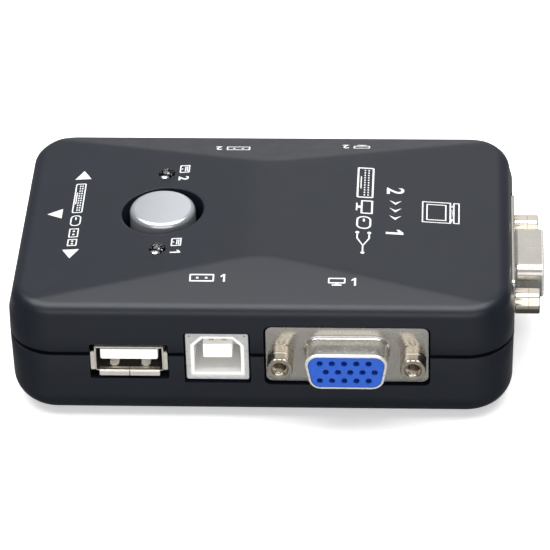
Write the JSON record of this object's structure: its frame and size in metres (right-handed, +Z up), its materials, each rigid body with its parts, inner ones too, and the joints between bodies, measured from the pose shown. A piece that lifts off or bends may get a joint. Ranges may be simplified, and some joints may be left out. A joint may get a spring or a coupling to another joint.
{
  "type": "kvm switch",
  "caption": "Low box with a rounded plan and a shallow ridged roof, video and USB sockets on its four sides, a round press button and indicator lamps on top.",
  "frame": {"origin": "middle of the flat underside of the case", "axes": "+X to the end with the single video socket, +Y to the back with the second computer's sockets, +Z up"},
  "size_m": [0.1021, 0.0724, 0.0283],
  "materials": {
    "case_plastic": "satin, fine texture",
    "button_plastic": "silver-white, smooth",
    "led_epoxy": "clear, polished",
    "screw_steel": "zinc plated",
    "board_laminate": "green solder mask",
    "capacitor_sleeve": "shrink sleeve",
    "plated_sheet": "tin plated",
    "black_plastic": "moulded",
    "jack_nickel": "nickel plated, turned",
    "shell_nickel": "nickel plated, drawn",
    "usb_a_nickel": "nickel plated, folded",
    "usb_b_nickel": "nickel plated, folded",
    "blue_plastic": "moulded, satin",
    "white_plastic": "moulded, satin"
  },
  "bodies": {
    "case": {"bottom_cover": "case_plastic", "capacitor_1": "capacitor_sleeve", "capacitor_2": "capacitor_sleeve", "case_screw_1": "screw_steel", "case_screw_2": "screw_steel", "case_screw_3": "screw_steel", "case_screw_4": "screw_steel", "crystal": "plated_sheet", "hub_chip": "black_plastic", "main_board": "board_laminate", "regulator": "black_plastic", "status_led_1": "led_epoxy", "status_led_2": "led_epoxy", "switch_base": "black_plastic", "switch_cover": "plated_sheet", "switch_dome": "plated_sheet", "top_cover": "case_plastic", "usb_a_back_insulator": "white_plastic", "usb_a_back_shell": "usb_a_nickel", "usb_a_front_insulator": "white_plastic", "usb_a_front_shell": "usb_a_nickel", "usb_a_left_insulator": "white_plastic", "usb_a_left_shell": "usb_a_nickel", "usb_b_back_insulator": "white_plastic", "usb_b_back_shell": "usb_b_nickel", "usb_b_front_insulator": "white_plastic", "usb_b_front_shell": "usb_b_nickel", "vga_back_bracket_left": "plated_sheet", "vga_back_bracket_right": "plated_sheet", "vga_back_insulator": "blue_plastic", "vga_back_jack_screw_left": "jack_nickel", "vga_back_jack_screw_right": "jack_nickel", "vga_back_shell": "shell_nickel", "vga_front_bracket_left": "plated_sheet", "vga_front_bracket_right": "plated_sheet", "vga_front_insulator": "blue_plastic", "vga_front_jack_screw_left": "jack_nickel", "vga_front_jack_screw_right": "jack_nickel", "vga_front_shell": "shell_nickel", "vga_monitor_bracket_left": "plated_sheet", "vga_monitor_bracket_right": "plated_sheet", "vga_monitor_insulator": "blue_plastic", "vga_monitor_jack_screw_left": "jack_nickel", "vga_monitor_jack_screw_right": "jack_nickel", "vga_monitor_shell": "shell_nickel", "video_switch_chip_1": "black_plastic", "video_switch_chip_2": "black_plastic", "video_switch_chip_3": "black_plastic"},
    "button": {"button_cap": "button_plastic", "switch_plunger": "black_plastic"}
  },
  "joints": [
    {"name": "button_press", "type": "slide", "parent": "case", "child": "button", "axis": [0, 0, -1], "range_m": [0, 0.0005], "stiffness_N_per_m": 3000, "deforming": ["switch_dome"]}
  ]
}
